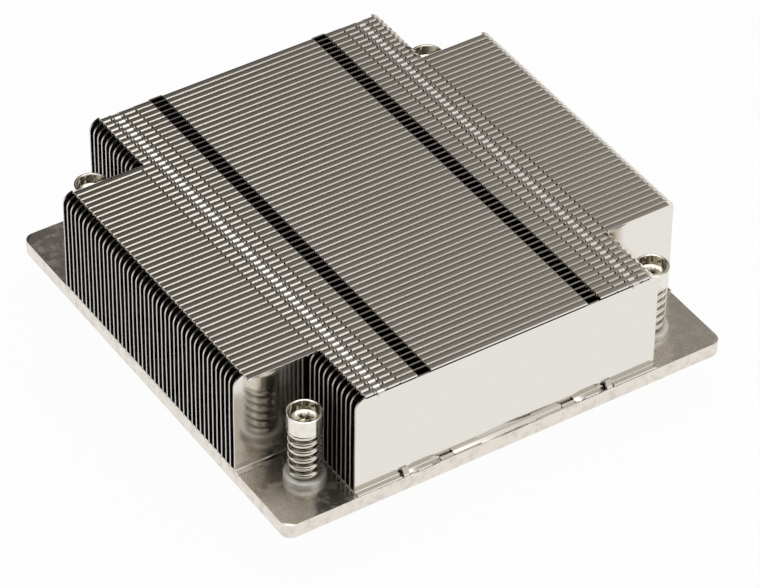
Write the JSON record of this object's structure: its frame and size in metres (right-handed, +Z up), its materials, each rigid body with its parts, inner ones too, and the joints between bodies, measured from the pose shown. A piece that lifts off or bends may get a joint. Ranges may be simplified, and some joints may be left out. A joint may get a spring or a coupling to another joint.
{
  "type": "passive processor heatsink",
  "caption": "Low passive processor heatsink: folded sheet fins with interlocked flanges on a square plated base, held by captive spring screws in cut-out corners.",
  "frame": {"origin": "centre of the base plate's flat contact face", "axes": "+Z up through the fins, away from the processor; X along the fins, which is the way the air flows; Y across the stack of fins, front at -Y"},
  "size_m": [0.095, 0.095, 0.0355],
  "materials": {
    "plate": "nickel plate, mirror-bright with scuffed satin corners",
    "fins": "bright rolled sheet, fine grain along the fins",
    "screws": "bright nickel-plated turned steel",
    "springs": "bright plated spring wire",
    "clips": "plain spring steel",
    "washers": "satin nickel plate"
  },
  "bodies": {
    "heatsink": {"base_plate": "plate", "fin_back_01": "fins", "fin_back_02": "fins", "fin_back_03": "fins", "fin_back_04": "fins", "fin_back_05": "fins", "fin_back_06": "fins", "fin_back_07": "fins", "fin_back_08": "fins", "fin_back_09": "fins", "fin_back_10": "fins", "fin_back_11": "fins", "fin_front_01": "fins", "fin_front_02": "fins", "fin_front_03": "fins", "fin_front_04": "fins", "fin_front_05": "fins", "fin_front_06": "fins", "fin_front_07": "fins", "fin_front_08": "fins", "fin_front_09": "fins", "fin_front_10": "fins", "fin_front_11": "fins", "fins_wide_01_02": "fins", "fins_wide_03_04": "fins", "fins_wide_05_06": "fins", "fins_wide_07_08": "fins", "fins_wide_09_10": "fins", "fins_wide_11_12": "fins", "fins_wide_13_14": "fins", "fins_wide_15_16": "fins", "fins_wide_17_18": "fins", "fins_wide_19_20": "fins", "fins_wide_21_22": "fins", "fins_wide_23_24": "fins", "fins_wide_25_26": "fins", "fins_wide_27_28": "fins", "fins_wide_29_30": "fins", "fins_wide_31_32": "fins", "fins_wide_33_34": "fins", "fins_wide_35_36": "fins", "fins_wide_37_38": "fins", "fins_wide_39_40": "fins", "fins_wide_41_42": "fins", "seat_washers": "washers", "spring_back_left": "springs", "spring_back_right": "springs", "spring_front_left": "springs", "spring_front_right": "springs"},
    "clip_front_left": {"clip_front_left": "clips"},
    "screw_front_left": {"screw_front_left": "screws"},
    "clip_front_right": {"clip_front_right": "clips"},
    "screw_front_right": {"screw_front_right": "screws"},
    "clip_back_left": {"clip_back_left": "clips"},
    "screw_back_left": {"screw_back_left": "screws"},
    "clip_back_right": {"clip_back_right": "clips"},
    "screw_back_right": {"screw_back_right": "screws"}
  },
  "joints": [
    {"name": "plunge_front_left", "type": "slide", "parent": "heatsink", "child": "clip_front_left", "axis": [0, 0, 1], "range_m": [-0.004, 0], "stiffness_N_per_m": 1500, "springref_m": 0.0007, "deforming": ["spring_front_left"]},
    {"name": "turn_front_left", "type": "hinge", "parent": "clip_front_left", "child": "screw_front_left", "pos_m": [-0.0375, -0.0375, 0], "axis": [0, 0, 1], "continuous": true},
    {"name": "plunge_front_right", "type": "slide", "parent": "heatsink", "child": "clip_front_right", "axis": [0, 0, 1], "range_m": [-0.004, 0], "stiffness_N_per_m": 1500, "springref_m": 0.0007, "deforming": ["spring_front_right"]},
    {"name": "turn_front_right", "type": "hinge", "parent": "clip_front_right", "child": "screw_front_right", "pos_m": [0.0375, -0.0375, 0], "axis": [0, 0, 1], "continuous": true},
    {"name": "plunge_back_left", "type": "slide", "parent": "heatsink", "child": "clip_back_left", "axis": [0, 0, 1], "range_m": [-0.004, 0], "stiffness_N_per_m": 1500, "springref_m": 0.0007, "deforming": ["spring_back_left"]},
    {"name": "turn_back_left", "type": "hinge", "parent": "clip_back_left", "child": "screw_back_left", "pos_m": [-0.0375, 0.0375, 0], "axis": [0, 0, 1], "continuous": true},
    {"name": "plunge_back_right", "type": "slide", "parent": "heatsink", "child": "clip_back_right", "axis": [0, 0, 1], "range_m": [-0.004, 0], "stiffness_N_per_m": 1500, "springref_m": 0.0007, "deforming": ["spring_back_right"]},
    {"name": "turn_back_right", "type": "hinge", "parent": "clip_back_right", "child": "screw_back_right", "pos_m": [0.0375, 0.0375, 0], "axis": [0, 0, 1], "continuous": true}
  ]
}
